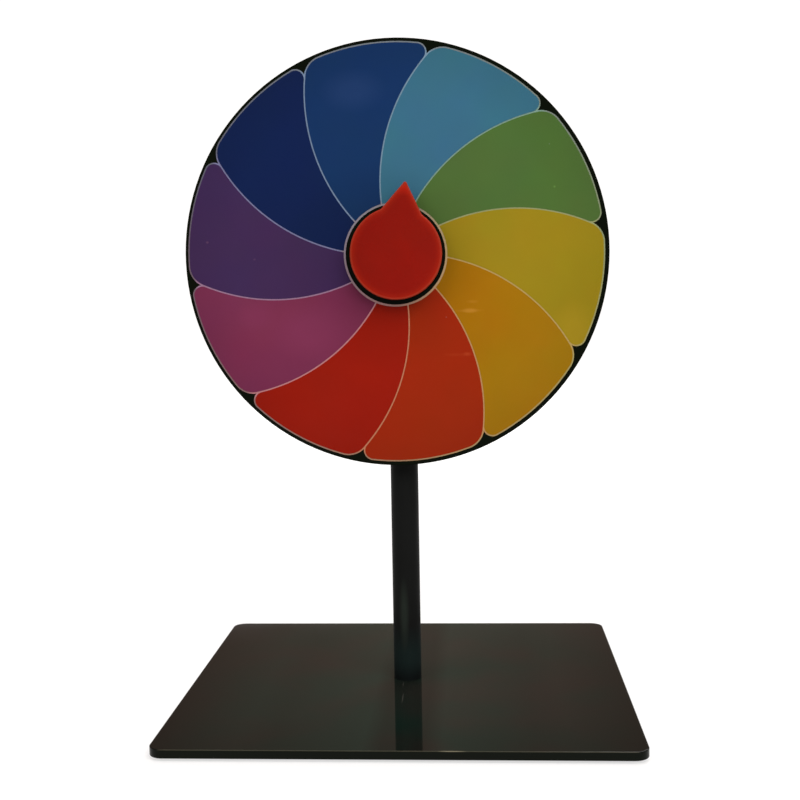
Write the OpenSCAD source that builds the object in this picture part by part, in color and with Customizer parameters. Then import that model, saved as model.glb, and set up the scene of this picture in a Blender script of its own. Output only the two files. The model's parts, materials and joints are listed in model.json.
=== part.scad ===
// Table-top game wheel: a ten-colour disc that spins on a bolt through a round post,
// a fixed red pointer in front of it and a flat base plate on rubber feet.
// Millimetres. The floor is z = 0, the post's axis is x = y = 0 and the wheel faces -Y.

/* [Base] */
// Width of the base plate
base_w = 320; // [240:1:420]
// Depth of the base plate
base_d = 300; // [220:1:400]
// Thickness of the base plate
base_t = 6; // [5:0.5:12]
// Radius of the plate's corners
base_corner_r = 10; // [3:1:30]
// Diameter of a rubber foot
foot_d = 14; // [8:1:24]
// Height of a rubber foot
foot_h = 2; // [1:0.5:6]
// Distance from a foot's centre to the plate's edges
foot_inset = 20; // [14:1:60]

/* [Post] */
// Outside diameter of the post
post_d = 20.5; // [17:0.5:30]
// Wall of the post
post_wall = 1.5; // [1:0.25:2.5]
// Height of the axle above the base plate
axle_rise = 315; // [240:1:420]
// Length of post above the axle
post_over = 18; // [13:1:40]
// Length of the threaded plug in the post's foot
foot_plug_len = 24; // [15:1:40]
// Thickness of the disc of the post's cap
cap_t = 2; // [1:0.5:5]
// Length of the cap's stem inside the post
cap_stem_len = 7; // [4:0.5:8]
// Radial play of the plug and the cap in the post
plug_play = 0.05; // [0.02:0.01:0.1]

/* [Screws] */
// Thread of the countersunk screw that holds the post
base_screw_d = 8; // [5:0.5:8]
// Length of that screw, with its head
base_screw_len = 20; // [12:1:20]
// Thread of the countersunk screws that hold the disc
hub_screw_d = 4; // [3:0.5:5]
// Number of screws that hold the disc
hub_screw_n = 4; // [3:1:8]
// Flange metal left under the screws' ends
hub_screw_skin = 0.5; // [0.2:0.1:1]
// Radial play of a thread in its tapped hole
thread_play = 0.05; // [0.02:0.01:0.1]
// Radial play of a screw or bolt in its clearance hole
hole_play = 0.1; // [0.05:0.05:0.5]

/* [Axle] */
// Shift of the axle to the right of the post's axis
axle_shift = -1.9; // [-2.5:0.1:2.5]
// Diameter of the axle bolt
axle_d = 8; // [6:0.5:10]
// Height of the bolt's hexagon head
bolt_head_h = 5.3; // [4:0.1:7]
// Wall of a nut or bolt head, from thread to flat
nut_wall = 2.5; // [2:0.1:4]
// Height of the thin nut that clamps the bearings
lock_nut_h = 4; // [3:0.5:7]
// Width of the rear washer's rim
washer_rim = 4; // [2:0.5:8]
// Thickness of the rear washer
washer_t = 1.6; // [1:0.1:3]
// Thickness of the front washer
front_washer_t = 0.8; // [0.5:0.1:2]
// Thickness of a saddle at the post's crown
saddle_t = 3; // [2:0.5:8]
// How far a saddle's edges reach round the post
saddle_wrap = 2.2; // [1:0.1:3]
// Play between a saddle and the post
saddle_play = 0.05; // [0.02:0.01:0.1]
// Radial play of the axle in what slides onto it
axle_play = 0.02; // [0.01:0.01:0.05]

/* [Bearings] */
// Outside diameter of a ball bearing
bearing_d = 22; // [20:0.5:28]
// Width of a ball bearing
bearing_w = 7; // [7:0.5:10]
// Diameter of a ball
ball_d = 3.97; // [3.4:0.01:4.2]
// Number of balls in a bearing
ball_n = 7; // [5:1:8]
// Gap between a ball and its races and cage pocket
ball_play = 0.08; // [0.05:0.01:0.12]
// Depth of a race in its ring
race_depth = 0.6; // [0.3:0.05:0.8]
// Gap between the cage and the rings and shields
cage_gap = 0.3; // [0.2:0.05:0.5]
// How far the cage's fingers reach past the balls' centres
cage_finger = 0.9; // [0.5:0.1:1.5]
// Thickness of a shield
shield_t = 0.3; // [0.2:0.05:0.4]
// Depth of a shield below the rings' faces
shield_recess = 0.2; // [0.1:0.05:0.3]
// Width of the step in the outer ring that a shield sits in
shield_step = 0.4; // [0.2:0.05:0.6]
// Gap between a shield and the inner ring
shield_gap = 0.25; // [0.15:0.05:0.4]
// How much narrower than the inner ring its clamping pieces are
clamp_step = 0.2; // [0.1:0.05:0.5]

/* [Hub] */
// Wall of the hub round the bearings
hub_wall = 4; // [2:0.5:8]
// Width of the flange round the hub
flange_w = 17; // [12:0.5:20]
// Thickness of the flange
flange_t = 4; // [3:0.5:8]
// Width of the shoulder between the two bearings
shoulder_w = 2; // [1:0.5:5]
// Height of that shoulder
shoulder_h = 1.3; // [0.8:0.1:1.6]
// Radial play of an outer ring in the hub
seat_play = 0.01; // [0.01:0.01:0.03]
// Radial play of the hub in the disc
spigot_play = 0.1; // [0.05:0.05:0.3]

/* [Wheel] */
// Diameter of the wheel
wheel_d = 300; // [220:1:420]
// Thickness of the disc
disc_t = 5; // [4:0.5:10]
// Depth of the hub's nose below the disc's face
nose_recess = 1.5; // [0.5:0.1:3]
// Black rim left round the silver outline
rim_w = 2.6; // [0.5:0.1:8]
// Width of the silver outline of a petal
line_w = 1; // [0.6:0.1:3]
// Radius of the hole in the silver film
silver_hole_r = 35.3; // [34:0.1:45]
// Width of the silver ring round that hole
silver_ring_w = 1.4; // [0.5:0.1:5]
// Radius of the arcs that part the petals, which all pass through the axle
sweep_r = 131.9; // [125:0.1:220]
// Turn of the first arc at the axle, clockwise from the top
sweep_turn = 14.2; // [0:0.1:36]
// Radius of a petal's blunt outer corner
blunt_corner_r = 15; // [6:0.5:16]
// Radius of a petal's sharp outer corner
sharp_corner_r = 6.5; // [3:0.5:8]
// Shift of the petals to the right of the axle, as they were laid
petal_shift_x = -0.5; // [-0.5:0.1:0.5]
// Shift of the petals above the axle
petal_shift_z = 0.2; // [-0.5:0.1:0.5]
// Thickness of each layer of film
film_t = 0.2; // [0.1:0.05:0.5]

/* [Pointer] */
// Radius of the pointer's round body
pointer_r = 32.3; // [26:0.1:34]
// Distance from its centre to where the nib's flanks would meet
nib_reach = 50.9; // [44:0.1:60]
// Angle on the round body from the nib's axis to a flank
nib_spread = 26.5; // [15:0.5:35]
// Radius of the nib's end
nib_r = 1.2; // [0.5:0.1:3]
// Radius of the hollow where a flank meets the round body
nib_hollow_r = 6; // [1:0.5:8]
// Thickness of the pointer plate
pointer_t = 4; // [2:0.5:8]
// Lean of the nib, clockwise from upright
pointer_lean = 8.6; // [-15:0.1:15]
// Shift of the pointer plate to the right of the axle
pointer_shift = 0.9; // [-2:0.1:2]
// Shift of the pointer plate above the axle
pointer_rise = 0.4; // [-2:0.1:2]
// Diameter of the threaded boss behind the pointer
boss_d = 24; // [18:0.5:36]
// Thickness of the boss
boss_t = 4; // [3:0.5:10]
// Boss metal left in front of the axle's end
boss_skin = 1.4; // [0.5:0.1:1.5]
// Diameter of the adhesive pad between boss and pointer
pad_d = 22; // [14:0.5:36]
// Thickness of that pad
pad_t = 0.7; // [0.3:0.1:2]

/* [Hidden] */
$fn = 96;
eps = 0.01;
hex_sides = 6;

// Heights
base_top = foot_h + base_t;
axle_z = base_top + axle_rise;
post_len = axle_rise + post_over;

// Distances forward from the post's axis, along the axle
post_r = post_d / 2;
rear_bearing_f = post_r + saddle_t;
spacer_f = rear_bearing_f + bearing_w;
front_bearing_f = spacer_f + shoulder_w;
bearings_end_f = front_bearing_f + bearing_w;
lock_nut_f = bearings_end_f + front_washer_t;
boss_f = lock_nut_f + lock_nut_h;
pad_f = boss_f + boss_t;
pointer_f = pad_f + pad_t;
axle_end_f = pad_f - boss_skin;
disc_face_f = bearings_end_f + nose_recess;
disc_back_f = disc_face_f - disc_t;
bolt_head_f = -(post_r + saddle_t + washer_t);

// Radii in the bearings and the hub
post_bore_r = post_r - post_wall;
bolt_r = axle_d / 2;
slide_r = bolt_r + axle_play;
bearing_r = bearing_d / 2;
pitch_r = (bolt_r + bearing_r) / 2;
race_r = ball_d / 2 + ball_play;
inner_ring_r = pitch_r - race_r + race_depth;
outer_ring_r = pitch_r + race_r - race_depth;
clamp_r = inner_ring_r - clamp_step;
shield_seat = shield_recess + shield_t;
hub_r = bearing_r + hub_wall;
flange_r = hub_r + flange_w;
hub_screw_r = hub_r + flange_w / 2;
hub_screw_len = disc_t + flange_t - hub_screw_skin;
hex_r = (bolt_r + nut_wall) / cos(180 / hex_sides);

// Socket in a countersunk head, as parts of its thread
socket_across = 0.6;
socket_depth = 0.35;

// Outline of the petals
wheel_r = wheel_d / 2;
petal_r = wheel_r - rim_w - line_w / 2;
petal_in_r = silver_hole_r + silver_ring_w;
// How far a corner's waste is cut from the round's centre, in radii of the round
waste_reach = 3;
// How far a corner's round laps over the two sides that it joins
corner_lap = 0.03;

// The petals clockwise from the first arc, with their colours
PETALS = [
    ["petal_green", [0.31, 0.43, 0.22]],
    ["petal_yellow", [0.61, 0.52, 0.12]],
    ["petal_amber", [0.64, 0.43, 0.06]],
    ["petal_orange", [0.60, 0.17, 0.07]],
    ["petal_red", [0.59, 0.12, 0.07]],
    ["petal_magenta", [0.48, 0.19, 0.31]],
    ["petal_purple", [0.25, 0.18, 0.33]],
    ["petal_navy", [0.09, 0.14, 0.30]],
    ["petal_blue", [0.11, 0.21, 0.38]],
    ["petal_light_blue", [0.25, 0.44, 0.54]],
];
petal_turn = 360 / len(PETALS);

black_gloss = [0.10, 0.10, 0.09];
black_paint = [0.09, 0.09, 0.09];
steel = [0.62, 0.62, 0.63];
aluminium = [0.72, 0.73, 0.74];
silver = [0.55, 0.53, 0.48];
rubber = [0.06, 0.06, 0.06];
cage_resin = [0.78, 0.74, 0.62];
pad_foam = [0.85, 0.85, 0.82];
pointer_red = [0.54, 0.10, 0.06];

// Directions in the wheel's plane are clockwise from the top
function heading(turn) = [sin(turn), cos(turn)];
function unit(v) = v / norm(v);

// Centre of the arc that starts petal k
function sweep_centre(k) = sweep_r * heading(sweep_turn + k * petal_turn + 90);

// Centre of a corner's round: inside the outer edge by radius r, and at the given
// distance from the centre of arc k
function corner_centre(k, r, distance) =
    let (out = petal_r - r,
         swing = acos((out * out + sweep_r * sweep_r - distance * distance) / (2 * out * sweep_r)))
    out * heading(sweep_turn + k * petal_turn + 90 - swing);

// Puts a piece on the axle, its own z pointing to the wheel's front, f ahead of the post's axis
module on_axle(f) {
    translate([axle_shift, 0, axle_z]) rotate([90, 0, 0]) translate([0, 0, f]) children();
}

module tube(outer_r, inner_r, length) {
    difference() {
        cylinder(r = outer_r, h = length);
        translate([0, 0, -eps]) cylinder(r = inner_r, h = length + 2 * eps);
    }
}

// A countersunk screw with its head's face at z = 0 and its thread below
module countersunk_screw(thread_d, length) {
    head_h = thread_d / 2;
    difference() {
        union() {
            translate([0, 0, -head_h]) cylinder(r1 = thread_d / 2, r2 = thread_d, h = head_h);
            translate([0, 0, -length]) cylinder(d = thread_d, h = length - head_h + eps);
        }
        translate([0, 0, -socket_depth * thread_d])
            cylinder(d = socket_across * thread_d / cos(180 / hex_sides),
                     h = socket_depth * thread_d + eps, $fn = hex_sides);
    }
}

// The hole for that screw in a plate of thickness t under z = 0
module countersunk_hole(thread_d, t) {
    head_h = thread_d / 2;
    translate([0, 0, -head_h]) cylinder(r1 = thread_d / 2, r2 = thread_d, h = head_h);
    cylinder(r = thread_d, h = eps);
    translate([0, 0, -t - eps]) cylinder(r = thread_d / 2 + hole_play, h = t);
}

module at_feet() {
    for (x = [-1, 1], y = [-1, 1])
        translate([x * (base_w / 2 - foot_inset), y * (base_d / 2 - foot_inset), 0]) children();
}

module at_hub_screws() {
    for (i = [0 : hub_screw_n - 1])
        rotate([0, 0, (i + 0.5) * 360 / hub_screw_n]) translate([hub_screw_r, 0, 0]) children();
}

// Base and post

module rubber_feet() {
    color(rubber) at_feet() cylinder(d = foot_d, h = foot_h);
}

module base_outline() {
    square([base_w - 2 * base_corner_r, base_d], center = true);
    square([base_w, base_d - 2 * base_corner_r], center = true);
    for (x = [-1, 1], y = [-1, 1])
        translate([x * (base_w / 2 - base_corner_r), y * (base_d / 2 - base_corner_r)])
            circle(r = base_corner_r);
}

module base_plate() {
    color(black_gloss) difference() {
        translate([0, 0, foot_h]) linear_extrude(base_t) base_outline();
        translate([0, 0, foot_h]) rotate([180, 0, 0]) countersunk_hole(base_screw_d, base_t + eps);
    }
}

module base_screw() {
    color(steel) translate([0, 0, foot_h]) rotate([180, 0, 0])
        countersunk_screw(base_screw_d, base_screw_len);
}

module post_foot_plug() {
    color(steel) translate([0, 0, base_top])
        tube(post_bore_r - plug_play, base_screw_d / 2 + thread_play, foot_plug_len);
}

module post_tube() {
    color(black_paint) difference() {
        translate([0, 0, base_top]) tube(post_r, post_bore_r, post_len);
        on_axle(-post_d) cylinder(r = bolt_r + hole_play, h = 2 * post_d);
    }
}

module post_cap() {
    color(black_paint) translate([0, 0, base_top + post_len]) {
        cylinder(r = post_r, h = cap_t);
        translate([0, 0, -cap_stem_len]) cylinder(r = post_bore_r - plug_play, h = cap_stem_len + eps);
    }
}

// Axle

// A spacer with a hollow that sits on the post, in front of it
module saddle() {
    difference() {
        on_axle(post_r - saddle_wrap) tube(clamp_r, slide_r, saddle_wrap + saddle_t);
        translate([0, 0, axle_z - post_d]) cylinder(r = post_r + saddle_play, h = 2 * post_d);
    }
}

module front_saddle() {
    color(aluminium) saddle();
}

module rear_saddle() {
    color(aluminium) mirror([0, 1, 0]) saddle();
}

module axle_washer() {
    color(steel) on_axle(bolt_head_f) tube(bolt_r + washer_rim, bolt_r + hole_play, washer_t);
}

module axle_bolt() {
    color(steel) on_axle(bolt_head_f) {
        translate([0, 0, -bolt_head_h]) cylinder(r = hex_r, h = bolt_head_h, $fn = hex_sides);
        translate([0, 0, -eps]) cylinder(r = bolt_r, h = axle_end_f - bolt_head_f + eps);
    }
}

module bearing_spacer() {
    color(aluminium) on_axle(spacer_f) tube(clamp_r, slide_r, shoulder_w);
}

module front_washer() {
    color(steel) on_axle(bearings_end_f) tube(clamp_r, slide_r, front_washer_t);
}

module lock_nut() {
    color(steel) on_axle(lock_nut_f) difference() {
        cylinder(r = hex_r, h = lock_nut_h, $fn = hex_sides);
        translate([0, 0, -eps]) cylinder(r = bolt_r + thread_play, h = lock_nut_h + 2 * eps);
    }
}

// Ball bearings, each with its rear face at f

module race() {
    translate([pitch_r, bearing_w / 2]) circle(r = race_r);
}

module inner_ring(f) {
    color(steel) on_axle(f) rotate_extrude() difference() {
        translate([slide_r, 0]) square([inner_ring_r - slide_r, bearing_w]);
        race();
    }
}

module outer_ring(f) {
    color(steel) on_axle(f) rotate_extrude() difference() {
        translate([outer_ring_r, 0]) square([bearing_r - outer_ring_r, bearing_w]);
        race();
        for (y = [-eps, bearing_w - shield_seat])
            translate([0, y]) square([outer_ring_r + shield_step, shield_seat + eps]);
    }
}

module balls(f) {
    color(steel) on_axle(f + bearing_w / 2)
        for (i = [0 : ball_n - 1])
            rotate([0, 0, i * 360 / ball_n]) translate([pitch_r, 0, 0]) sphere(d = ball_d);
}

module cage(f) {
    cage_back = bearing_w / 2 - shield_seat - cage_gap;
    color(cage_resin) on_axle(f + bearing_w / 2) difference() {
        translate([0, 0, -cage_back])
            tube(outer_ring_r - cage_gap, inner_ring_r + cage_gap, cage_back + cage_finger);
        for (i = [0 : ball_n - 1])
            rotate([0, 0, i * 360 / ball_n]) translate([pitch_r, 0, 0]) sphere(r = race_r);
    }
}

module shields(f) {
    color(steel) for (z = [shield_recess, bearing_w - shield_seat])
        on_axle(f + z) tube(outer_ring_r + shield_step - seat_play, inner_ring_r + shield_gap, shield_t);
}

module rear_bearing_inner_ring() { inner_ring(rear_bearing_f); }
module rear_bearing_balls() { balls(rear_bearing_f); }
module rear_bearing_cage() { cage(rear_bearing_f); }
module rear_bearing_shields() { shields(rear_bearing_f); }
module rear_bearing_outer_ring() { outer_ring(rear_bearing_f); }
module front_bearing_inner_ring() { inner_ring(front_bearing_f); }
module front_bearing_balls() { balls(front_bearing_f); }
module front_bearing_cage() { cage(front_bearing_f); }
module front_bearing_shields() { shields(front_bearing_f); }
module front_bearing_outer_ring() { outer_ring(front_bearing_f); }

// Wheel

module wheel_hub() {
    bore_r = bearing_r + seat_play;
    color(aluminium) difference() {
        union() {
            on_axle(rear_bearing_f) cylinder(r = hub_r, h = bearings_end_f - rear_bearing_f);
            on_axle(disc_back_f - flange_t) cylinder(r = flange_r, h = flange_t);
        }
        on_axle(rear_bearing_f - eps) cylinder(r = bore_r, h = bearing_w + eps);
        on_axle(spacer_f - eps) cylinder(r = bore_r - shoulder_h, h = shoulder_w + 2 * eps);
        on_axle(front_bearing_f) cylinder(r = bore_r, h = bearing_w + eps);
        on_axle(disc_back_f - flange_t - eps) at_hub_screws()
            cylinder(r = hub_screw_d / 2 + thread_play, h = flange_t + 2 * eps);
    }
}

module wheel_disc() {
    color(black_gloss) difference() {
        on_axle(disc_back_f) cylinder(r = wheel_r, h = disc_t);
        on_axle(disc_back_f - eps) cylinder(r = hub_r + spigot_play, h = disc_t + 2 * eps);
        on_axle(disc_face_f) at_hub_screws() countersunk_hole(hub_screw_d, disc_t + eps);
    }
}

module hub_screws() {
    color(steel) on_axle(disc_face_f) at_hub_screws() countersunk_screw(hub_screw_d, hub_screw_len);
}

// What a round of radius r about the point at takes off a corner, between its two sides
module corner_waste(at, side_a, side_b, r) {
    reach = waste_reach * r;
    difference() {
        translate(at) polygon([[0, 0], reach * side_a, reach * unit(side_a + side_b), reach * side_b]);
        translate(at) circle(r = r);
    }
}

// Outline of petal k, with its arcs and outer edge moved outwards by grow
module petal_outline(k, inner_r, grow) {
    start = sweep_centre(k);
    stop = sweep_centre(k + 1);
    blunt = corner_centre(k, blunt_corner_r, sweep_r - blunt_corner_r);
    sharp = corner_centre(k + 1, sharp_corner_r, sweep_r + sharp_corner_r);
    difference() {
        translate([petal_shift_x, petal_shift_z]) difference() {
            intersection() {
                circle(r = petal_r + grow);
                translate(start) circle(r = sweep_r + grow);
            }
            translate(stop) circle(r = sweep_r - grow);
            corner_waste(blunt, unit(blunt), unit(blunt - start), blunt_corner_r + grow + corner_lap);
            corner_waste(sharp, unit(sharp), unit(stop - sharp), sharp_corner_r + grow + corner_lap);
        }
        circle(r = inner_r);
    }
}

module silver_keyline() {
    color(silver) on_axle(disc_face_f) linear_extrude(film_t) {
        difference() {
            circle(r = petal_in_r + line_w);
            circle(r = silver_hole_r);
        }
        for (k = [0 : len(PETALS) - 1]) petal_outline(k, petal_in_r, line_w / 2);
    }
}

module petal(k) {
    color(PETALS[k][1]) on_axle(disc_face_f + film_t) linear_extrude(film_t)
        petal_outline(k, petal_in_r, -line_w / 2);
}

// Pointer

module pointer_boss() {
    color(aluminium) on_axle(boss_f) difference() {
        cylinder(d = boss_d, h = boss_t);
        translate([0, 0, -eps]) cylinder(r = bolt_r + thread_play, h = boss_t + 2 * eps);
    }
}

module pointer_pad() {
    color(pad_foam) on_axle(pad_f) cylinder(d = pad_d, h = pad_t);
}

// One half of the nib, right of its upright axis, hollowed where its flank meets the round body
module half_nib() {
    foot = pointer_r * heading(nib_spread);
    half_apex = atan2(foot[0], nib_reach - foot[1]);
    side = [cos(half_apex), sin(half_apex)];
    along = [-sin(half_apex), cos(half_apex)];
    end_centre = [0, nib_reach - nib_r / sin(half_apex)];
    hollow_side = foot * side + nib_hollow_r;
    hollow_along = sqrt(pow(pointer_r + nib_hollow_r, 2) - pow(hollow_side, 2));
    hollow = hollow_side * side + hollow_along * along;
    difference() {
        polygon([[0, 0], hollow, hollow - nib_hollow_r * side, end_centre + nib_r * side, end_centre]);
        translate(hollow) circle(r = nib_hollow_r + corner_lap);
    }
    translate(end_centre) circle(r = nib_r);
}

module pointer_outline() {
    circle(r = pointer_r);
    half_nib();
    mirror([1, 0]) half_nib();
}

module pointer_plate() {
    color(pointer_red) on_axle(pointer_f) translate([pointer_shift, pointer_rise, 0])
        rotate([0, 0, -pointer_lean]) linear_extrude(pointer_t) pointer_outline();
}

rubber_feet();
base_plate();
base_screw();
post_foot_plug();
post_tube();
post_cap();
rear_saddle();
axle_washer();
axle_bolt();
front_saddle();
rear_bearing_inner_ring();
rear_bearing_balls();
rear_bearing_cage();
rear_bearing_shields();
rear_bearing_outer_ring();
bearing_spacer();
front_bearing_inner_ring();
front_bearing_balls();
front_bearing_cage();
front_bearing_shields();
front_bearing_outer_ring();
front_washer();
lock_nut();
wheel_hub();
wheel_disc();
hub_screws();
silver_keyline();
for (k = [0 : len(PETALS) - 1]) petal(k);
pointer_boss();
pointer_pad();
pointer_plate();
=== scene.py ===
import json
import math

import bmesh
import bpy
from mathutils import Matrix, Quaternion, Vector


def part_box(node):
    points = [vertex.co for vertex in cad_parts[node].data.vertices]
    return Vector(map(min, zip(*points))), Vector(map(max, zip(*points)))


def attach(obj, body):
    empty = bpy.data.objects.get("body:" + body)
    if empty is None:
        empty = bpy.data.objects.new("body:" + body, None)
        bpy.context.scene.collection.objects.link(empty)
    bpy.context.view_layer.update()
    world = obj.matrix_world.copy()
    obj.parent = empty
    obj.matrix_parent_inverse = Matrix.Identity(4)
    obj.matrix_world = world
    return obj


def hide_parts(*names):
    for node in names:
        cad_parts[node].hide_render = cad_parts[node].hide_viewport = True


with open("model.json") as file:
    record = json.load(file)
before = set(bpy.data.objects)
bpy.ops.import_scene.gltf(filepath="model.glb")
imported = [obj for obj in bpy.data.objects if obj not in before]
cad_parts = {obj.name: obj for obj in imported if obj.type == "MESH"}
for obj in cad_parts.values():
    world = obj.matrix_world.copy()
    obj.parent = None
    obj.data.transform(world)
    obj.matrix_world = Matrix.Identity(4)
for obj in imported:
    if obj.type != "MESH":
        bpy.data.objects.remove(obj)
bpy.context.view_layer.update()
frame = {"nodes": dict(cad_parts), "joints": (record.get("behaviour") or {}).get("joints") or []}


# Photograph's view
# The camera stands a little right of the wheel and just below its axle, and looks slightly down.
# Its place and lens come from the outlines of the base plate, the post and the wheel.
camera_place = Vector((0.05195, -0.89489, 0.29459))
camera_lens = 54.825
camera_yaw = -0.0602
camera_pitch = -0.0865
camera_roll = 0.0175
image_width = 800
half_pixel = 0.5 / image_width

look = Vector((math.sin(camera_yaw), math.cos(camera_yaw), math.tan(camera_pitch)))
camera = bpy.data.objects.new("camera", bpy.data.cameras.new("camera"))
camera.data.lens = camera_lens
camera.data.shift_x = -half_pixel
camera.data.shift_y = half_pixel
camera.location = camera_place
camera.rotation_mode = "QUATERNION"
camera.rotation_quaternion = look.to_track_quat("-Z", "Y") @ Quaternion((0, 0, 1), -camera_roll)
bpy.context.scene.collection.objects.link(camera)
bpy.context.scene.camera = camera


# Rubber feet
# Four stick-on bumpers of black rubber under the plate's corners. They are moulded with a soft
# edge, and their matt skin is finely grained and a little dusty.
foot_edge = 0.0006
rubber_black = (0.018, 0.017, 0.016, 1)
rubber_dusty = (0.050, 0.047, 0.042, 1)
rubber_gloss = 0.3
rubber_roughness = 0.85
rubber_dust_lumps = 150.0
rubber_dust_span = (0.45, 0.75)
rubber_grain_lumps = 900.0
rubber_grain_depth = 0.00006


def merged_copy(node):
    """A CAD node's own shape as a closed mesh, with its flat faces whole."""
    same_place = 1e-6
    flat_angle = math.radians(1)
    bm = bmesh.new()
    bm.from_mesh(frame["nodes"][node].data)
    bmesh.ops.remove_doubles(bm, verts=bm.verts, dist=same_place)
    bmesh.ops.dissolve_limit(bm, angle_limit=flat_angle, verts=bm.verts, edges=bm.edges)
    return bm


def soften(bm, width, steps):
    """Rounds each edge where two faces meet at a sharp angle."""
    sharp_angle = math.radians(30)
    sharp = [edge for edge in bm.edges if edge.calc_face_angle(0) > sharp_angle]
    bmesh.ops.bevel(bm, geom=sharp, offset=width, affect="EDGES", segments=steps,
                    profile=0.5, material=-1, clamp_overlap=True)


def as_object(name, bm, finish):
    """Puts a mesh in the scene under a name, in one finish."""
    mesh = bpy.data.meshes.new(name)
    bm.to_mesh(mesh)
    bm.free()
    mesh.materials.append(finish)
    made = bpy.data.objects.new(name, mesh)
    bpy.context.scene.collection.objects.link(made)
    return made


def rounded_piece(name, node, body, finish, edge, steps=3):
    """Makes the piece that stands for a CAD node: its shape with round edges, flat where it is flat."""
    bm = merged_copy(node)
    soften(bm, edge, steps)
    piece = as_object(name, bm, finish)
    piece.data.shade_smooth()
    flats = piece.modifiers.new("flats", "WEIGHTED_NORMAL")
    flats.keep_sharp = True
    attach(piece, body)
    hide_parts(node)


def fill(tree, node, sockets):
    """Sets each named socket of a shader node to a value, or links it to another node's output."""
    for name, value in sockets.items():
        if isinstance(value, bpy.types.NodeSocket):
            tree.links.new(value, node.inputs[name])
        else:
            node.inputs[name].default_value = value


def put(tree, kind, sockets, **options):
    """Adds a shader node with its options and sockets set, and returns its outputs."""
    made = tree.nodes.new(kind)
    for option, value in options.items():
        setattr(made, option, value)
    fill(tree, made, sockets)
    return made.outputs


def here(tree):
    """Where a point lies on the object, in metres."""
    return put(tree, "ShaderNodeTexCoord", {})["Object"]


def noise(tree, lumps, detail=2.0):
    """A soft random value from 0 to 1, with so many lumps to a metre."""
    return put(tree, "ShaderNodeTexNoise", {"Vector": here(tree), "Scale": lumps, "Detail": detail})[0]


def spread(tree, value, span, levels):
    """Stretches a value's span to two levels, and holds each level beyond its end."""
    ends = {"From Min": span[0], "From Max": span[1], "To Min": levels[0], "To Max": levels[1]}
    return put(tree, "ShaderNodeMapRange", {"Value": value, **ends})[0]


def rising(tree, value, span):
    """A mask that goes from 0 to 1 over a value's span."""
    return spread(tree, value, span, (0.0, 1.0))


def mixed(tree, mask, first, second):
    """Goes from the first colour to the second as the mask goes from 0 to 1."""
    # The mix node keeps its sockets for colours after those for values and vectors
    mask_in, first_in, second_in, colour_out = 0, 6, 7, 2
    return put(tree, "ShaderNodeMix", {mask_in: mask, first_in: first, second_in: second},
               data_type="RGBA")[colour_out]


def bump(tree, height, depth):
    """The normal of a surface that rises by depth, in metres, where height goes from 0 to 1."""
    return put(tree, "ShaderNodeBump", {"Height": height, "Distance": depth})[0]


def new_finish(name):
    """A material with one shader that is still plain. Returns it and its node tree."""
    finish = bpy.data.materials.new(name)
    finish.use_nodes = True
    return finish, finish.node_tree


def surface(tree, sockets):
    """Sets a finish's own shader: its colour, gloss, roughness and the like."""
    fill(tree, tree.nodes["Principled BSDF"], sockets)


rubber, tree = new_finish("rubber")
dusting = rising(tree, noise(tree, rubber_dust_lumps), rubber_dust_span)
surface(tree, {
    "Base Color": mixed(tree, dusting, rubber_black, rubber_dusty),
    "Specular IOR Level": rubber_gloss,
    "Roughness": rubber_roughness,
    "Normal": bump(tree, noise(tree, rubber_grain_lumps), rubber_grain_depth)})

rounded_piece("bumper_feet", "rubber_feet", "stand", rubber, foot_edge)


# Base plate
# A sheet of black gloss acrylic with round corners, cut by laser and polished on its edges. It
# lies on the feet. Fine dust, hairlines and two scratches lie on its top. A faint painted
# reflection, in blotches of green and brown, is laid in with the dust: stronger beside the post,
# thinner at the sides and towards the front. Its front top edge carries a painted highlight line,
# brightest in one short pale glint.
plate_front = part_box("base_plate")[0].y
plate_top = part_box("base_plate")[1].z
plate_edge = 0.0006
plate_gloss = 0.08

acrylic_black = (0.0022, 0.0039, 0.0013, 1)
acrylic_clouding = 0.5
acrylic_cloud_lumps = 11.0
acrylic_marked = (0.070, 0.067, 0.060, 1)
acrylic_mark_strength = 0.5
# Turn of each set of hairlines, in radians, and its share of the cells
acrylic_hairlines = ((0.5, 0.012), (1.9, 0.010))
acrylic_speck_cells = 260.0
acrylic_speck_share = 0.02
acrylic_haze_lumps = 16.0
acrylic_haze_span = (0.35, 0.70)
acrylic_roughness = (0.030, 0.045)
sheet_wave_lumps = 9.0
sheet_wave_depth = 0.00001

# Dust on the top with a painted reflection in it: blotches of these two colours
dust_and_reflection_green = (0.0042, 0.0104, 0.0078, 1)
dust_and_reflection_red = (0.0090, 0.0088, 0.0072, 1)
dust_and_reflection_lumps = 13.0
dust_and_reflection_span = (0.40, 0.70)
dust_and_reflection_skin = (plate_top - 0.0004, plate_top - 0.0001)
dust_and_reflection_middle = 0.004
thinner_at_sides_span = (0.108, 0.165)
thinner_at_sides_levels = (1.0, 0.15)
beside_post_span = (0.014, 0.026)
beside_post_levels = (0.0, 0.75)
beside_post_fading = (0.026, 0.085)
thinner_at_front_span = (plate_front, plate_front + 0.06)
thinner_at_front_levels = (0.78, 1.0)

# Place and reach of each scratch on the top
top_scratches = (
    ((-0.0025, -0.018, plate_top), (0.0004, 0.007, 0.001)),
    ((-0.0012, -0.049, plate_top), (0.0005, 0.013, 0.001)))
top_scratch_strength = 0.4
# Painted highlight: a pale line along the front top edge, brightest in one short glint
edge_highlight_pale = (0.170, 0.157, 0.105, 1)
edge_highlight_depth = 0.0003
glint_place = (0.0355, plate_front, plate_top)
glint_reach = (0.0095, 0.005, 0.005)
edge_highlight_levels = (0.22, 1.0)

NUMBER = "NodeSocketFloat"
COLOUR = "NodeSocketColor"
VECTOR = "NodeSocketVector"


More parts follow.
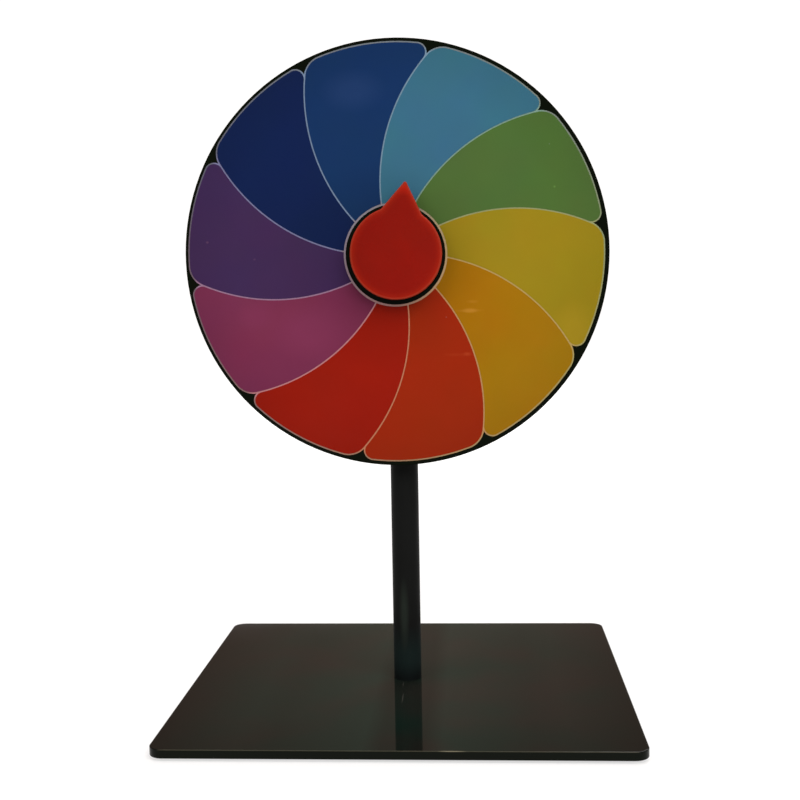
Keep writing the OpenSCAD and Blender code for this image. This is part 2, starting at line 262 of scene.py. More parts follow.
def math_of(tree, operation, *values):
    """One sum or product of two or three values."""
    return put(tree, "ShaderNodeMath", dict(enumerate(values)), operation=operation)[0]


def vector_of(tree, operation, *vectors):
    """One sum or product of two or three vectors or colours."""
    return put(tree, "ShaderNodeVectorMath", dict(enumerate(vectors)), operation=operation)[0]


def length_of(tree, vector):
    """How long a vector is."""
    return put(tree, "ShaderNodeVectorMath", {0: vector}, operation="LENGTH")["Value"]


def scaled(tree, colour, level):
    """A colour or vector times one value."""
    return put(tree, "ShaderNodeVectorMath", {0: colour, "Scale": level}, operation="SCALE")[0]


def sides_of(tree, vector):
    """A vector's three parts, X, Y and Z."""
    return put(tree, "ShaderNodeSeparateXYZ", {0: vector})


def fading(tree, value, span):
    """A mask that goes from 1 to 0 over a value's span."""
    return spread(tree, value, span, (1.0, 0.0))


def new_group(name, inputs, outputs):
    """An effect that several finishes share. Returns it, what it is given and what it gives."""
    group = bpy.data.node_groups.new(name, "ShaderNodeTree")
    for socket, kind in inputs.items():
        group.interface.new_socket(socket, in_out="INPUT", socket_type=kind)
    for socket, kind in outputs.items():
        group.interface.new_socket(socket, in_out="OUTPUT", socket_type=kind)
    given = group.nodes.new("NodeGroupInput").outputs
    gives = group.nodes.new("NodeGroupOutput").inputs
    return group, given, gives


def use(tree, group, **sockets):
    """Places a shared effect in a finish and returns what it gives."""
    return put(tree, "ShaderNodeGroup", sockets, node_tree=group)[0]


def scattered(tree, place, cells, share, dot):
    """Dots in a few of the cells that a surface is parted into, each full within a dot's span."""
    cell = put(tree, "ShaderNodeTexVoronoi", {"Vector": place, "Scale": cells})
    lot = put(tree, "ShaderNodeSeparateColor", {0: cell["Color"]})[0]
    chosen = math_of(tree, "LESS_THAN", lot, share)
    return math_of(tree, "MULTIPLY", chosen, fading(tree, cell["Distance"], dot))


# Soft clouds that make a colour a little lighter and darker from place to place
cloud_detail = 3.0
noise_middle = 0.5
clouds, given, gives = new_group(
    "clouds", {"Colour": COLOUR, "Amount": NUMBER, "Lumps": NUMBER}, {"Colour": COLOUR})
swing = math_of(clouds, "SUBTRACT", noise(clouds, given["Lumps"], detail=cloud_detail), noise_middle)
level = math_of(clouds, "MULTIPLY_ADD", swing, given["Amount"], 1.0)
clouds.links.new(scaled(clouds, given["Colour"], level), gives["Colour"])

# One soft oval mark at a place: a scratch, a lighter patch or speck, or a painted highlight or glint
mark_fading = (0.3, 1.0)
mark, given, gives = new_group("mark", {"Place": VECTOR, "Reach": VECTOR}, {"Mask": NUMBER})
apart = vector_of(mark, "SUBTRACT", here(mark), given["Place"])
away = length_of(mark, vector_of(mark, "DIVIDE", apart, given["Reach"]))
mark.links.new(fading(mark, away, mark_fading), gives["Mask"])

# Specks of dust: round dots
speck_dot = (0.05, 0.12)
specks, given, gives = new_group("specks", {"Cells": NUMBER, "Share": NUMBER}, {"Mask": NUMBER})
dots = scattered(specks, here(specks), given["Cells"], given["Share"], speck_dot)
specks.links.new(dots, gives["Mask"])

# Hairlines: dots that are drawn out along one line
hairline_cells = 14.0
hairline_drawn_out = (1.0, 45.0, 45.0)
hairline_dot = (0.04, 0.10)
hairlines, given, gives = new_group("hairlines", {"Turn": NUMBER, "Share": NUMBER}, {"Mask": NUMBER})
turned = put(hairlines, "ShaderNodeVectorRotate",
             {"Vector": here(hairlines), "Angle": given["Turn"]}, rotation_type="Z_AXIS")[0]
drawn_out = put(hairlines, "ShaderNodeMapping", {"Vector": turned, "Scale": hairline_drawn_out})[0]
lines = scattered(hairlines, drawn_out, hairline_cells, given["Share"], hairline_dot)
hairlines.links.new(lines, gives["Mask"])


def acrylic_tone(tree):
    """The colour of black acrylic sheet, with faint hairlines and dust."""
    clouded = use(tree, clouds, Colour=acrylic_black, Amount=acrylic_clouding, Lumps=acrylic_cloud_lumps)
    marks = use(tree, specks, Cells=acrylic_speck_cells, Share=acrylic_speck_share)
    for turn, share in acrylic_hairlines:
        marks = math_of(tree, "MAXIMUM", marks, use(tree, hairlines, Turn=turn, Share=share))
    return mixed(tree, math_of(tree, "MULTIPLY", marks, acrylic_mark_strength), clouded, acrylic_marked)


def polish(tree, tone, gloss):
    """Gives a finish the polished, faintly hazy and wavy surface of acrylic sheet."""
    haze = noise(tree, acrylic_haze_lumps, detail=4.0)
    surface(tree, {
        "Base Color": tone,
        "Specular IOR Level": gloss,
        "Roughness": spread(tree, haze, acrylic_haze_span, acrylic_roughness),
        "Normal": bump(tree, noise(tree, sheet_wave_lumps), sheet_wave_depth)})


black_acrylic, tree = new_finish("black_acrylic")
place = sides_of(tree, here(tree))

# Dust and a painted reflection on the top: stronger beside the post, thinner at the sides and towards
# the front
dust_and_reflection = mixed(tree, rising(tree, noise(tree, dust_and_reflection_lumps), dust_and_reflection_span), dust_and_reflection_green, dust_and_reflection_red)
from_middle = math_of(tree, "ABSOLUTE", math_of(tree, "SUBTRACT", place["X"], dust_and_reflection_middle))
thinner_at_sides = spread(tree, from_middle, thinner_at_sides_span, thinner_at_sides_levels)
beside_post = math_of(
    tree, "MULTIPLY",
    spread(tree, from_middle, beside_post_span, beside_post_levels),
    fading(tree, from_middle, beside_post_fading))
thinner_at_front = spread(tree, place["Y"], thinner_at_front_span, thinner_at_front_levels)
amount = math_of(tree, "MULTIPLY", math_of(tree, "ADD", thinner_at_sides, beside_post), thinner_at_front)
on_top = rising(tree, place["Z"], dust_and_reflection_skin)
tone = mixed(tree, on_top, acrylic_tone(tree), scaled(tree, dust_and_reflection, amount))

for spot, reach in top_scratches:
    scratch = math_of(tree, "MULTIPLY", use(tree, mark, Place=spot, Reach=reach), top_scratch_strength)
    tone = mixed(tree, scratch, tone, acrylic_marked)

# The painted highlight line on the front top edge, and its glint
front_edge = math_of(
    tree, "MULTIPLY",
    rising(tree, place["Y"], (plate_front + plate_edge, plate_front + edge_highlight_depth)),
    rising(tree, place["Z"], (plate_top - plate_edge, plate_top - edge_highlight_depth)))
glint_spot = spread(tree, use(tree, mark, Place=glint_place, Reach=glint_reach), (0.0, 1.0), edge_highlight_levels)
painted_glint = math_of(tree, "MULTIPLY", front_edge, glint_spot)
polish(tree, mixed(tree, painted_glint, tone, edge_highlight_pale), plate_gloss)

rounded_piece("polished_plate", "base_plate", "stand", black_acrylic, plate_edge)


# Base screw and foot plug
# A zinc-plated countersunk screw comes up through the plate into a threaded steel plug that is
# pressed into the post's foot. Its head lies flush in the plate's underside.
zinc = (0.58, 0.57, 0.54, 1)
zinc_clouding = 0.5
zinc_cloud_lumps = 240.0
zinc_dull = (0.40, 0.39, 0.37, 1)
zinc_dull_lumps = 90.0
zinc_dull_span = (0.5, 0.8)
zinc_roughness = (0.22, 0.36)
zinc_roughness_lumps = 400.0
zinc_grain_lumps = 1500.0
zinc_grain_depth = 0.00001


def uneven(tree, value, levels):
    """Takes a random value, whose usual span is known, to two levels."""
    usual_span = (0.3, 0.7)
    return spread(tree, value, usual_span, levels)


def dress(node, finish):
    """Gives a CAD node that keeps its own shape a finish."""
    materials = frame["nodes"][node].data.materials
    materials.clear()
    materials.append(finish)


steel, tree = new_finish("steel")
plated = use(tree, clouds, Colour=zinc, Amount=zinc_clouding, Lumps=zinc_cloud_lumps)
dulling = rising(tree, noise(tree, zinc_dull_lumps, detail=4.0), zinc_dull_span)
surface(tree, {
    "Base Color": mixed(tree, dulling, plated, zinc_dull),
    "Metallic": 1.0,
    "Roughness": uneven(tree, noise(tree, zinc_roughness_lumps), zinc_roughness),
    "Normal": bump(tree, noise(tree, zinc_grain_lumps), zinc_grain_depth)})

dress("base_screw", steel)
dress("post_foot_plug", steel)


# Post
# A round steel tube, sprayed with satin black paint, that stands on the plate over the screw. The
# spray has left a fine orange peel. A painted highlight streak lies on its front, low down. Above
# the foot the paint is lighter and teal. At the foot itself it is darker with painted shade, where
# the post meets the plate. Just under the wheel it is lighter with painted light, where the
# wheel's shadow falls.
post_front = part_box("post_tube")[0].y
post_edge = 0.0004
paint_black = (0.0084, 0.0089, 0.0087, 1)
paint_low = (0.0092, 0.0162, 0.0156, 1)
paint_low_fading = (0.030, 0.050)
# Painted shade: darker at the foot, where the post meets the plate
paint_shaded_foot = (0.0048, 0.0066, 0.0068, 1)
shaded_foot_fading = (0.010, 0.022)
# Painted light: lighter just under the wheel, where the wheel's shadow falls
paint_lit_under_wheel = (0.0128, 0.0146, 0.0142, 1)
lit_under_wheel_rising = (0.145, 0.172)
# Painted highlight: a soft pale streak down the front, low down
paint_highlight = (0.0185, 0.0242, 0.0202, 1)
paint_highlight_place = (-0.0015, post_front, 0.058)
paint_highlight_reach = (0.0042, 0.004, 0.030)
paint_clouding = 0.4
paint_cloud_lumps = 30.0
paint_speck_cells = 420.0
paint_speck_share = 0.03
paint_speck_strength = 0.4
paint_gloss = 0.03
paint_roughness = (0.34, 0.46)
paint_roughness_lumps = 60.0
orange_peel_lumps = 1100.0
orange_peel_depth = 0.00002

black_paint, tree = new_finish("black_paint")
height = sides_of(tree, here(tree))["Z"]
tone = mixed(tree, fading(tree, height, paint_low_fading), paint_black, paint_low)
# Painted shade at the foot, painted light under the wheel and a painted highlight streak on the front
tone = mixed(tree, fading(tree, height, shaded_foot_fading), tone, paint_shaded_foot)
tone = mixed(tree, rising(tree, height, lit_under_wheel_rising), tone, paint_lit_under_wheel)
tone = mixed(tree, use(tree, mark, Place=paint_highlight_place, Reach=paint_highlight_reach), tone, paint_highlight)
tone = use(tree, clouds, Colour=tone, Amount=paint_clouding, Lumps=paint_cloud_lumps)
dust = use(tree, specks, Cells=paint_speck_cells, Share=paint_speck_share)
dust = math_of(tree, "MULTIPLY", dust, paint_speck_strength)
surface(tree, {
    "Base Color": mixed(tree, dust, tone, acrylic_marked),
    "Specular IOR Level": paint_gloss,
    "Roughness": uneven(tree, noise(tree, paint_roughness_lumps, detail=3.0), paint_roughness),
    "Normal": bump(tree, noise(tree, orange_peel_lumps), orange_peel_depth)})

rounded_piece("painted_post", "post_tube", "stand", black_paint, post_edge, steps=2)


# Post cap
# A cap of moulded black plastic with a rounded rim and a finely grained skin. Its stem is pushed
# into the post's top end.
cap_edge = 0.0009
plastic_black = (0.012, 0.012, 0.0115, 1)
plastic_worn = (0.022, 0.021, 0.020, 1)
plastic_wear_lumps = 150.0
plastic_wear_span = (0.50, 0.75)
plastic_gloss = 0.3
plastic_roughness = (0.42, 0.55)
plastic_roughness_lumps = 700.0
plastic_grain_lumps = 2400.0
plastic_grain_depth = 0.00003

black_plastic, tree = new_finish("black_plastic")
wear = rising(tree, noise(tree, plastic_wear_lumps, detail=3.0), plastic_wear_span)
surface(tree, {
    "Base Color": mixed(tree, wear, plastic_black, plastic_worn),
    "Specular IOR Level": plastic_gloss,
    "Roughness": uneven(tree, noise(tree, plastic_roughness_lumps), plastic_roughness),
    "Normal": bump(tree, noise(tree, plastic_grain_lumps), plastic_grain_depth)})

rounded_piece("moulded_cap", "post_cap", "stand", black_plastic, cap_edge, steps=4)


# Axle: saddles, washer and bolt
# Turned aluminium saddles sit against the post, front and back. A zinc-plated hexagon bolt with a
# washer under its head goes through them and the post, and carries the wheel on its front end.
axle = Vector(frame["joints"][0]["pos_m"])
saddle_edge = 0.0003
washer_edge = 0.0004
hexagon_edge = 0.0005
aluminium_pale = (0.58, 0.58, 0.575, 1)
aluminium_clouding = 0.25
aluminium_cloud_lumps = 120.0
aluminium_roughness = (0.22, 0.45)
aluminium_cuts = 2600.0
aluminium_cut_depth = 0.00002


def from_centre(tree, centre):
    """How far a point lies from a centre on the wheel: the way there, and its length on the face."""
    way = put(tree, "ShaderNodeMapping", {"Vector": here(tree), "Location": -centre})[0]
    return way, length_of(tree, vector_of(tree, "MULTIPLY", way, (1, 0, 1)))


# Lathe marks: fine rings round the axle on faces, and fine lines round the outside
lathe, given, gives = new_group("lathe", {"Cuts": NUMBER}, {"Height": NUMBER})
way, radius = from_centre(lathe, axle)
along = math_of(lathe, "ADD", radius, sides_of(lathe, way)["Y"])
feed = math_of(lathe, "MULTIPLY", along, given["Cuts"])
cut = put(lathe, "ShaderNodeTexNoise", {"W": feed, "Scale": 1.0, "Detail": cloud_detail},
          noise_dimensions="1D")[0]
lathe.links.new(cut, gives["Height"])


def turn_metal(tree, tone, cuts, depth, roughness):
    """Gives a finish the surface of metal that was turned or ground round the axle."""
    rings = use(tree, lathe, Cuts=cuts)
    surface(tree, {
        "Base Color": tone,
        "Metallic": 1.0,
        "Roughness": uneven(tree, rings, roughness),
        "Normal": bump(tree, rings, depth)})


aluminium, tree = new_finish("aluminium")
tone = use(tree, clouds, Colour=aluminium_pale, Amount=aluminium_clouding, Lumps=aluminium_cloud_lumps)
turn_metal(tree, tone, aluminium_cuts, aluminium_cut_depth, aluminium_roughness)

rounded_piece("rear_turned_saddle", "rear_saddle", "stand", aluminium,
              saddle_edge, steps=2)
rounded_piece("front_turned_saddle", "front_saddle", "stand", aluminium,
              saddle_edge, steps=2)
rounded_piece("plated_washer", "axle_washer", "stand", steel, washer_edge, steps=2)
rounded_piece("plated_bolt", "axle_bolt", "stand", steel, hexagon_edge, steps=2)


# Ball bearings
# Two shielded ball bearings on the bolt: ground steel rings, bright balls in an ivory resin cage,
# and a thin pressed shield on each side.
ring_steel = (0.60, 0.60, 0.61, 1)
ring_clouding = 0.2
ring_cloud_lumps = 300.0
ring_roughness = (0.12, 0.22)
ring_cuts = 5200.0
ring_cut_depth = 0.000005
resin_ivory = (0.62, 0.56, 0.42, 1)
resin_oiled = (0.44, 0.37, 0.24, 1)
resin_oil_lumps = 260.0
resin_oil_span = (0.4, 0.7)
resin_roughness = (0.35, 0.50)
resin_roughness_lumps = 700.0

bearing_steel, tree = new_finish("bearing_steel")
tone = use(tree, clouds, Colour=ring_steel, Amount=ring_clouding, Lumps=ring_cloud_lumps)
turn_metal(tree, tone, ring_cuts, ring_cut_depth, ring_roughness)

cage_resin, tree = new_finish("cage_resin")
oiling = rising(tree, noise(tree, resin_oil_lumps, detail=3.0), resin_oil_span)
surface(tree, {
    "Base Color": mixed(tree, oiling, resin_ivory, resin_oiled),
    "Roughness": uneven(tree, noise(tree, resin_roughness_lumps), resin_roughness)})

for side in ("rear", "front"):
    for part in ("inner_ring", "balls", "shields", "outer_ring"):
        dress(f"{side}_bearing_{part}", bearing_steel)
    dress(f"{side}_bearing_cage", cage_resin)


# Bearing spacer, front washer and lock nut
# A turned aluminium spacer keeps the two inner rings apart. A zinc-plated washer and a thin nut,
# screwed on from the front, clamp them on the bolt.
dress("bearing_spacer", aluminium)
dress("front_washer", steel)
rounded_piece("plated_nut", "lock_nut", "stand", steel, hexagon_edge, steps=2)


# Wheel hub
# An aluminium hub, turned from bar, that holds both outer rings. The disc sits on its nose and
# against its flange, which is tapped for the disc's screws.
hub_edge = 0.0003

rounded_piece("turned_hub", "wheel_hub", "wheel", aluminium, hub_edge, steps=2)


# Wheel disc and its screws
# The disc is cut from the same black acrylic as the plate, with its edge polished round. Four
# countersunk screws, flush with its face, hold it on the flange.
disc_edge = 0.0005
disc_gloss = 0.024

disc_acrylic, tree = new_finish("disc_acrylic")
polish(tree, acrylic_tone(tree), disc_gloss)

rounded_piece("polished_disc", "wheel_disc", "wheel", disc_acrylic, disc_edge)
dress("hub_screws", steel)


# Silver key-line
# A silver self-adhesive film, cut so that it shows as a thin outline round every petal and as a
# ring round the centre. It is thin, so each arc takes on some of the two colours that it parts.
silver_low, silver_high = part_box("silver_keyline")
petals_laid = (silver_low + silver_high) / 2
first_arc_turn = math.radians(14.2)
arc_radius = 0.1319
# Colour of each arc between two petals, from the first one and on round the wheel
silver_arcs = (
    (0.164, 0.280, 0.223), (0.257, 0.284, 0.120), (0.411, 0.284, 0.087), (0.442, 0.237, 0.091),
    (0.454, 0.175, 0.088), (0.446, 0.182, 0.198), (0.292, 0.162, 0.265), (0.166, 0.172, 0.312),
    (0.154, 0.225, 0.340), (0.156, 0.253, 0.344))
# Painted light: the ring round the centre is lighter on the right, where more light falls
silver_ring_shaded_left = (0.270, 0.196, 0.188, 1)
silver_ring_lit_right = (0.478, 0.322, 0.180, 1)
silver_ring_rising = (0.0, 0.034)
silver_ring_span = (0.0368, 0.0390)
silver_ring_levels = (0.65, 0.0)
# The outer lines lie on black, so they are greyer, and lighter towards the lower right
rim_span = (0.142, 0.145)
low_right_way = (0.7, 0, -0.7)
low_right_span = (0.02, 0.14)
rim_dimmed = (0.58, 0.58, 0.58, 1)
rim_lit = (0.88, 1.08, 0.97, 1)
rim_grey_left = (0.060, 0.072, 0.050, 1)
rim_grey_right = (0.225, 0.215, 0.190, 1)
rim_grey_rising = (-0.145, -0.055)
rim_grey_levels = (0.40, 0.15)
silver_clouding = 0.5
silver_cloud_lumps = 900.0
silver_metallic = 0.3
silver_gloss = 0.3
silver_roughness = (0.30, 0.42)
silver_roughness_lumps = 70.0

silver_film, tree = new_finish("silver_film")
way, radius = from_centre(tree, petals_laid)
across = sides_of(tree, way)

# An arc bends away further out. That much is taken off, so each arc keeps one turn all along
bend = math_of(tree, "ARCSINE", math_of(tree, "DIVIDE", radius, 2 * arc_radius))
turn = math_of(tree, "SUBTRACT", math_of(tree, "ARCTAN2", across["X"], across["Z"]), bend)
turn = math_of(tree, "DIVIDE", math_of(tree, "SUBTRACT", turn, first_arc_turn), math.tau)
ramp = tree.nodes.new("ShaderNodeValToRGB")
fill(tree, ramp, {"Fac": math_of(tree, "FRACT", turn)})
# The ramp goes once round the wheel, so both of its ends are the first arc's colour
stops = ramp.color_ramp.elements
first_arc, *other_arcs = silver_arcs
for stop in stops:
    stop.color = (*first_arc, 1)
for k, colour in enumerate(other_arcs, start=1):
    stops.new(k / len(silver_arcs)).color = (*colour, 1)

# The ring round the centre, painted lighter towards the right
rightwards = rising(tree, across["X"], silver_ring_rising)
silver_ring = mixed(tree, rightwards, silver_ring_shaded_left, silver_ring_lit_right)
ringed = spread(tree, radius, silver_ring_span, silver_ring_levels)
tone = mixed(tree, ringed, ramp.outputs["Color"], silver_ring)

low_right = put(tree, "ShaderNodeVectorMath", {0: way, 1: low_right_way},
                operation="DOT_PRODUCT")["Value"]
rim_light = mixed(tree, rising(tree, low_right, low_right_span), rim_dimmed, rim_lit)
rim_grey = mixed(tree, rising(tree, across["X"], rim_grey_rising), rim_grey_left, rim_grey_right)
greyed = spread(tree, low_right, low_right_span, rim_grey_levels)
rim_tone = mixed(tree, greyed, vector_of(tree, "MULTIPLY", tone, rim_light), rim_grey)
tone = mixed(tree, rising(tree, radius, rim_span), tone, rim_tone)
surface(tree, {
    "Base Color": use(tree, clouds, Colour=tone, Amount=silver_clouding, Lumps=silver_cloud_lumps),
    "Metallic": silver_metallic,
    "Specular IOR Level": silver_gloss,
    "Roughness": uneven(tree, noise(tree, silver_roughness_lumps, detail=3.0), silver_roughness)})

dress("silver_keyline", silver_film)


# Petal films
# Ten petals of coloured gloss film, laid inside the silver outlines. Each is one colour, a little
# uneven as on film laid by hand, with a painted soft shadow of the pointer round the centre, and
# darker at the rim.
petal_colours = {
    "petal_green": (0.0724, 0.1440, 0.0338),
    "petal_yellow": (0.3025, 0.2210, 0.0110),
    "petal_amber": (0.3410, 0.1506, 0.0030),
    "petal_orange": (0.3097, 0.0217, 0.0040),
    "petal_red": (0.2867, 0.0107, 0.0037),
    "petal_magenta": (0.1757, 0.0285, 0.0750),
    "petal_purple": (0.0475, 0.0223, 0.0820),
    "petal_navy": (0.0050, 0.0142, 0.0698),
    "petal_blue": (0.0070, 0.0309, 0.1095),
    "petal_light_blue": (0.0408, 0.1460, 0.2220),
}
amber_at_rim = (0.342, 0.170, 0.0050, 1)
amber_rising = (0.050, 0.130)
# Lighter marks: painted highlight streaks on the amber and the orange, broad lighter patches on the
# magenta, the blue and the yellow, and specks on the green and the purple. Their colour, then right
# of the axle, above it, half length, half height and strength of each
petal_marks = {
    "petal_amber": ((0.470, 0.210, 0.0195), (
        (0.0520, -0.0403, 0.0062, 0.0020, 1.0),
        (0.0515, -0.0403, 0.0120, 0.0014, 0.4),
        (0.0539, -0.0340, 0.0050, 0.0014, 0.4))),
    "petal_orange": ((0.378, 0.040, 0.0110), (
        (0.0420, -0.0713, 0.0110, 0.0014, 0.4),
        (0.0497, -0.0710, 0.0035, 0.0018, 1.0))),
    "petal_magenta": ((0.1995, 0.0326, 0.0861), (
        (-0.0600, -0.0530, 0.0360, 0.0240, 1.0),
        (-0.1000, -0.0420, 0.0160, 0.0120, 0.7))),
    "petal_blue": ((0.0120, 0.0385, 0.1290), (
        (-0.0280, 0.1144, 0.0240, 0.0160, 1.0),)),
    "petal_yellow": ((0.349, 0.245, 0.0140), (
        (0.1250, -0.0560, 0.0180, 0.0220, 1.0),)),
    "petal_green": ((0.168, 0.334, 0.0800), (
        (0.1119, 0.0449, 0.0010, 0.0010, 0.5),)),
    "petal_purple": ((0.100, 0.048, 0.1120), (
        (-0.1339, 0.0111, 0.0013, 0.0011, 1.0),
        (-0.1004, -0.0016, 0.0012, 0.0009, 0.6))),
}
film_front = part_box("petal_green")[0].y
film_mark_depth = 0.002
film_tinting = 0.28
film_tint_lumps = 20.0
film_dust = (0.30, 0.30, 0.30, 1)
film_speck_cells = 150.0
film_speck_share = 0.007
film_speck_strength = 0.35
film_gloss = 0.035
film_roughness = (0.12, 0.22)
film_roughness_lumps = 24.0
film_wave_lumps = 30.0
film_wave_depth = 0.00003

# Faint tints: red, green and blue each a little stronger and weaker from place to place
tints, given, gives = new_group(
    "tints", {"Colour": COLOUR, "Amount": NUMBER, "Lumps": NUMBER}, {"Colour": COLOUR})
wander = put(tints, "ShaderNodeTexNoise",
             {"Vector": here(tints), "Scale": given["Lumps"], "Detail": cloud_detail})["Color"]
swing = vector_of(tints, "SUBTRACT", wander, (noise_middle, noise_middle, noise_middle))
swing = scaled(tints, swing, given["Amount"])
toned = vector_of(tints, "MULTIPLY_ADD", given["Colour"], swing, given["Colour"])
tints.links.new(toned, gives["Colour"])

# How light the film is: a painted soft shadow of the pointer at the centre, and darker towards the rim
shadow_centre = axle + Vector((-0.009, 0, -0.009))
shadow_span = (0.036, 0.075)
shadow_levels = (0.85, 1.0)
film_rim_span = (0.115, 0.143)
film_rim_levels = (1.0, 0.90)
shading, given, gives = new_group("shading", {"Colour": COLOUR}, {"Colour": COLOUR})
inside = spread(shading, from_centre(shading, shadow_centre)[1], shadow_span, shadow_levels)
outside = spread(shading, from_centre(shading, axle)[1], film_rim_span, film_rim_levels)
level = math_of(shading, "MULTIPLY", inside, outside)
shading.links.new(scaled(shading, given["Colour"], level), gives["Colour"])

for petal, colour in petal_colours.items():
    film, tree = new_finish(petal)
    tone = (*colour, 1)
    if petal == "petal_amber":
        tone = mixed(tree, rising(tree, from_centre(tree, axle)[1], amber_rising), tone, amber_at_rim)
    tone = use(tree, tints, Colour=tone, Amount=film_tinting, Lumps=film_tint_lumps)
    mark_colour, marks = petal_marks.get(petal, (colour, ()))
    # Each lighter mark goes over the film's colour; on the amber and the orange these are painted
    # highlights
    for right, up, half_length, half_height, strength in marks:
        lighter_mark = use(tree, mark, Place=(axle.x + right, film_front, axle.z + up),
                    Reach=(half_length, film_mark_depth, half_height))
        tone = mixed(tree, math_of(tree, "MULTIPLY", lighter_mark, strength), tone, (*mark_colour, 1))
    tone = use(tree, shading, Colour=tone)
    dust = use(tree, specks, Cells=film_speck_cells, Share=film_speck_share)
    dust = math_of(tree, "MULTIPLY", dust, film_speck_strength)
    surface(tree, {
        "Base Color": mixed(tree, dust, tone, film_dust),
        "Specular IOR Level": film_gloss,
        "Roughness": uneven(tree, noise(tree, film_roughness_lumps, detail=4.0), film_roughness),
        "Normal": bump(tree, noise(tree, film_wave_lumps), film_wave_depth)})
    dress(petal, film)


# Pointer boss and pad
# A round aluminium boss, turned from bar and screwed on the bolt's end. A disc of white foam tape,
# sticky on both sides, lies on its face and holds the pointer.
boss_edge = 0.0005
tape_white = (0.70, 0.70, 0.67, 1)
tape_grey = (0.52, 0.52, 0.49, 1)
tape_gloss = 0.2
tape_roughness = 0.9
foam_lumps = 1600.0
foam_span = (0.35, 0.65)
foam_depth = 0.0001

rounded_piece("turned_boss", "pointer_boss", "stand", aluminium, boss_edge, steps=2)

foam_tape, tree = new_finish("foam_tape")
foam = noise(tree, foam_lumps)
surface(tree, {
    "Base Color": mixed(tree, rising(tree, foam, foam_span), tape_grey, tape_white),
    "Specular IOR Level": tape_gloss,
    "Roughness": tape_roughness,
    "Normal": bump(tree, foam, foam_depth)})
dress("pointer_pad", foam_tape)


# Pointer
# A drop of red acrylic, cut by laser and stuck on the pad, that stays still while the wheel turns.
# Light gathered in the sheet comes out at its polished edge, so the rim glows a purer red. That
# glow is painted on, brightest along the lower edge and at the nib's tip, and the drop is painted
# lighter towards its right side, where more light falls.
pointer_edge = 0.0009
pointer_centre = axle + Vector((0.0009, 0, 0.0004))
pointer_lean = math.radians(8.6)
pointer_radius = 0.0323
pointer_width = (-pointer_radius, pointer_radius)
nib_reach = 0.0509
nib_half_angle = math.radians(33.3)
pointer_red = (0.231, 0.0070, 0.0031, 1)
# Painted glow: the rim and the nib's tip are a brighter, purer red
pointer_glow = (0.338, 0.0150, 0.0048, 1)
glow_fading = (0.0, 0.006)
glow_falloff = 1.6
nib_glow = (0.50, 0.0145, 0.0060, 1)
nib_glow_span = (0.002, 0.011)
nib_glow_levels = (0.8, 0.0)
# Painted glow on the edge itself, brighter along the lower edge
edge_glow_above = (0.32, 0.0220, 0.0095, 1)
edge_glow_below = (0.33, 0.0325, 0.0155, 1)
edge_fading = (0.0009, 0.0018)
# Painted light: the drop is lighter towards its right side
lit_sideways_levels = (0.91, 1.08)
pointer_tinting = 0.4
pointer_tint_lumps = 32.0
pointer_speck_cells = 300.0
pointer_speck_share = 0.01
pointer_speck_strength = 0.3
pointer_gloss = 0.055
pointer_roughness = (0.22, 0.32)
pointer_roughness_lumps = 40.0

red_acrylic, tree = new_finish("red_acrylic")
way, radius = from_centre(tree, pointer_centre)
upright = put(tree, "ShaderNodeVectorRotate", {"Vector": way, "Angle": -pointer_lean},
              rotation_type="Y_AXIS")[0]
across = sides_of(tree, upright)

# How far a point lies inside the drop's edge: inside its round, or inside the two flanks of its nib
in_round = math_of(tree, "SUBTRACT", pointer_radius, radius)
below_tip = math_of(tree, "SUBTRACT", nib_reach, across["Z"])
sideways = math_of(tree, "MULTIPLY", math_of(tree, "ABSOLUTE", across["X"]), math.cos(nib_half_angle))
downwards = math_of(tree, "MULTIPLY", below_tip, math.sin(nib_half_angle))
in_nib = math_of(tree, "MINIMUM", math_of(tree, "SUBTRACT", downwards, sideways), across["Z"])
from_edge = math_of(tree, "MAXIMUM", in_round, in_nib)

# The painted glow at the rim, at the nib's tip and on the edge
glow = math_of(tree, "POWER", fading(tree, from_edge, glow_fading), glow_falloff)
tone = mixed(tree, glow, pointer_red, pointer_glow)
tone = mixed(tree, spread(tree, below_tip, nib_glow_span, nib_glow_levels), tone, nib_glow)
edge_glow_tone = mixed(tree, rising(tree, across["Z"], pointer_width), edge_glow_below, edge_glow_above)
tone = mixed(tree, fading(tree, from_edge, edge_fading), tone, edge_glow_tone)
# Painted light, lighter towards the right side
tone = scaled(tree, tone, spread(tree, across["X"], pointer_width, lit_sideways_levels))
tone = use(tree, tints, Colour=tone, Amount=pointer_tinting, Lumps=pointer_tint_lumps)
dust = use(tree, specks, Cells=pointer_speck_cells, Share=pointer_speck_share)
dust = math_of(tree, "MULTIPLY", dust, pointer_speck_strength)
surface(tree, {
    "Base Color": mixed(tree, dust, tone, film_dust),
    "Specular IOR Level": pointer_gloss,
    "Roughness": uneven(tree, noise(tree, pointer_roughness_lumps, detail=4.0), pointer_roughness)})

rounded_piece("polished_pointer", "pointer_plate", "stand", red_acrylic,
              pointer_edge, steps=4)


# Floor and surround
# A round white floor that takes the object's soft shadow, and a low white wall far off all round it.
# The wall and the floor that leads to it are there for the camera and for gloss, and light nothing.
floor_radius = 1.8
wall_radius = 27.0
wall_height = 7.2
surround_below = 0.002
round_sides = 96
white_paint = (0.32, 0.32, 0.32, 1)
white_gloss = 0.0
white_roughness = 0.9
white_glow = (1, 1, 1, 1)
white_glow_span = (0.5, 1.8)
white_glow_levels = (0.64, 1.0)

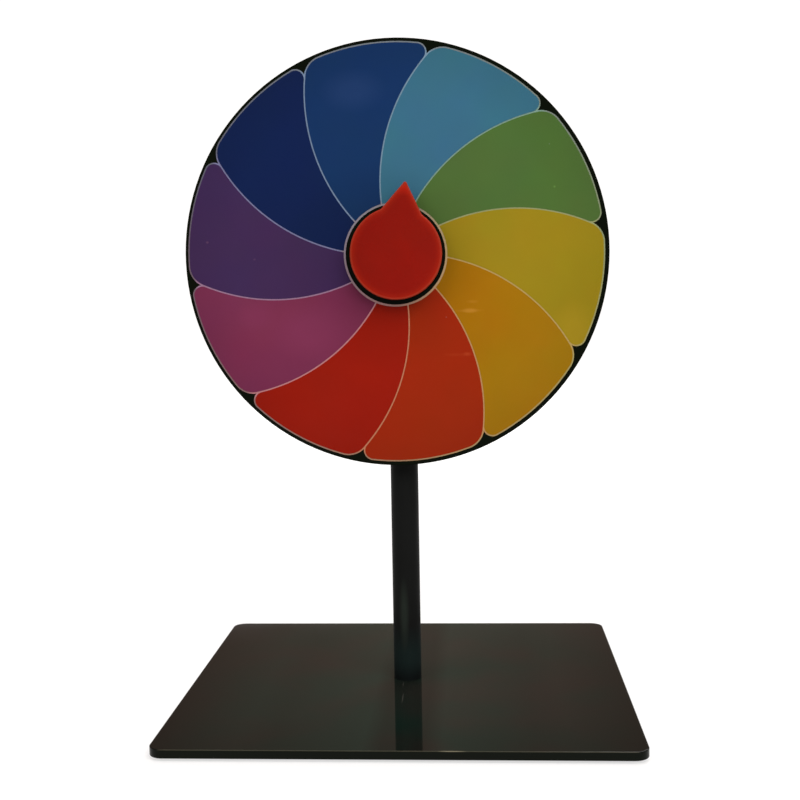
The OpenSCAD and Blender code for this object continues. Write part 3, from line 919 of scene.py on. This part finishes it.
studio_white, tree = new_finish("studio_white")
whiteness = spread(tree, length_of(tree, here(tree)), white_glow_span, white_glow_levels)
ray = put(tree, "ShaderNodeLightPath", {})
seen = math_of(tree, "MAXIMUM", ray["Is Camera Ray"], ray["Is Glossy Ray"])
seen = math_of(tree, "MAXIMUM", seen, ray["Is Transmission Ray"])
surface(tree, {
    "Base Color": white_paint,
    "Specular IOR Level": white_gloss,
    "Roughness": white_roughness,
    "Emission Color": white_glow,
    "Emission Strength": math_of(tree, "MULTIPLY", seen, whiteness)})

bm = bmesh.new()
bmesh.ops.create_circle(bm, cap_ends=True, segments=round_sides, radius=floor_radius)
floor = as_object("studio_floor", bm, studio_white)

bm = bmesh.new()
bmesh.ops.create_circle(bm, cap_ends=True, segments=round_sides, radius=wall_radius)
bmesh.ops.translate(bm, verts=bm.verts, vec=(0, 0, -surround_below))
drawn_up = bmesh.ops.extrude_edge_only(bm, edges=bm.edges)["geom"]
wall_top = [corner for corner in drawn_up if isinstance(corner, bmesh.types.BMVert)]
bmesh.ops.translate(bm, verts=wall_top, vec=(0, 0, wall_height))
surround = as_object("studio_surround", bm, studio_white)
surround.visible_diffuse = False
surround.visible_shadow = False


# Studio light
# Two large soft lamps in front, high on the right and on the left, one overhead and one behind,
# in a plain dim room. Together they light the wheel's face so that a colour looks as it is written.
room_light = (0.278, 0.199, 0.157, 1)
lamps_aim = Vector((0, 0, 0.25))
# Place, size and power of each lamp
lamps = {
    "key_lamp": ((1.2, -1.8, 1.9), 2.0, 62.0),
    "fill_lamp": ((-1.7, -1.5, 1.7), 1.6, 25.5),
    "top_lamp": ((0.0, 0.1, 2.4), 1.6, 26.5),
    "back_lamp": ((0.9, 2.2, 2.0), 1.2, 40.0),
}

room = bpy.data.worlds.new("room")
room.use_nodes = True
fill(room.node_tree, room.node_tree.nodes["Background"], {"Color": room_light})
bpy.context.scene.world = room

for name, (spot, size, power) in lamps.items():
    lamp = bpy.data.objects.new(name, bpy.data.lights.new(name, "AREA"))
    lamp.data.size = size
    lamp.data.energy = power
    lamp.location = spot
    lamp.rotation_mode = "QUATERNION"
    lamp.rotation_quaternion = (lamps_aim - lamp.location).to_track_quat("-Z", "Y")
    bpy.context.scene.collection.objects.link(lamp)

bpy.context.scene.view_settings.view_transform = "Standard"
